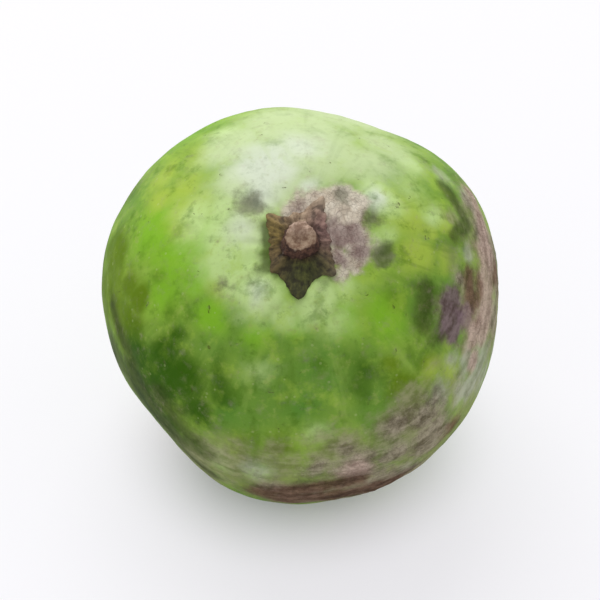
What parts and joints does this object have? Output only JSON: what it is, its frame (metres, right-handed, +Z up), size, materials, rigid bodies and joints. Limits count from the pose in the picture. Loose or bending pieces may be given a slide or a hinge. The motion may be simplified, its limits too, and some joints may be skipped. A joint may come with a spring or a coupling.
{
  "type": "dragon plum",
  "caption": "Round green drupe with a dried star-shaped calyx and a short stalk stub, lying on a small flat spot with its stem end leaning to the front.",
  "frame": {"origin": "on the small flat spot that the fruit rests on, straight below the middle of the fruit", "axes": "+Z up, away from the surface it rests on; -Y towards the front, where the stem end leans; +X to the right"},
  "size_m": [0.0275, 0.0275, 0.0261],
  "materials": {
    "skin": "satin",
    "dry_calyx": "matte",
    "stalk_wood": "matte"
  },
  "bodies": {
    "root": {"fruit": "skin", "calyx": "dry_calyx", "stem_stub": "stalk_wood"}
  },
  "joints": []
}
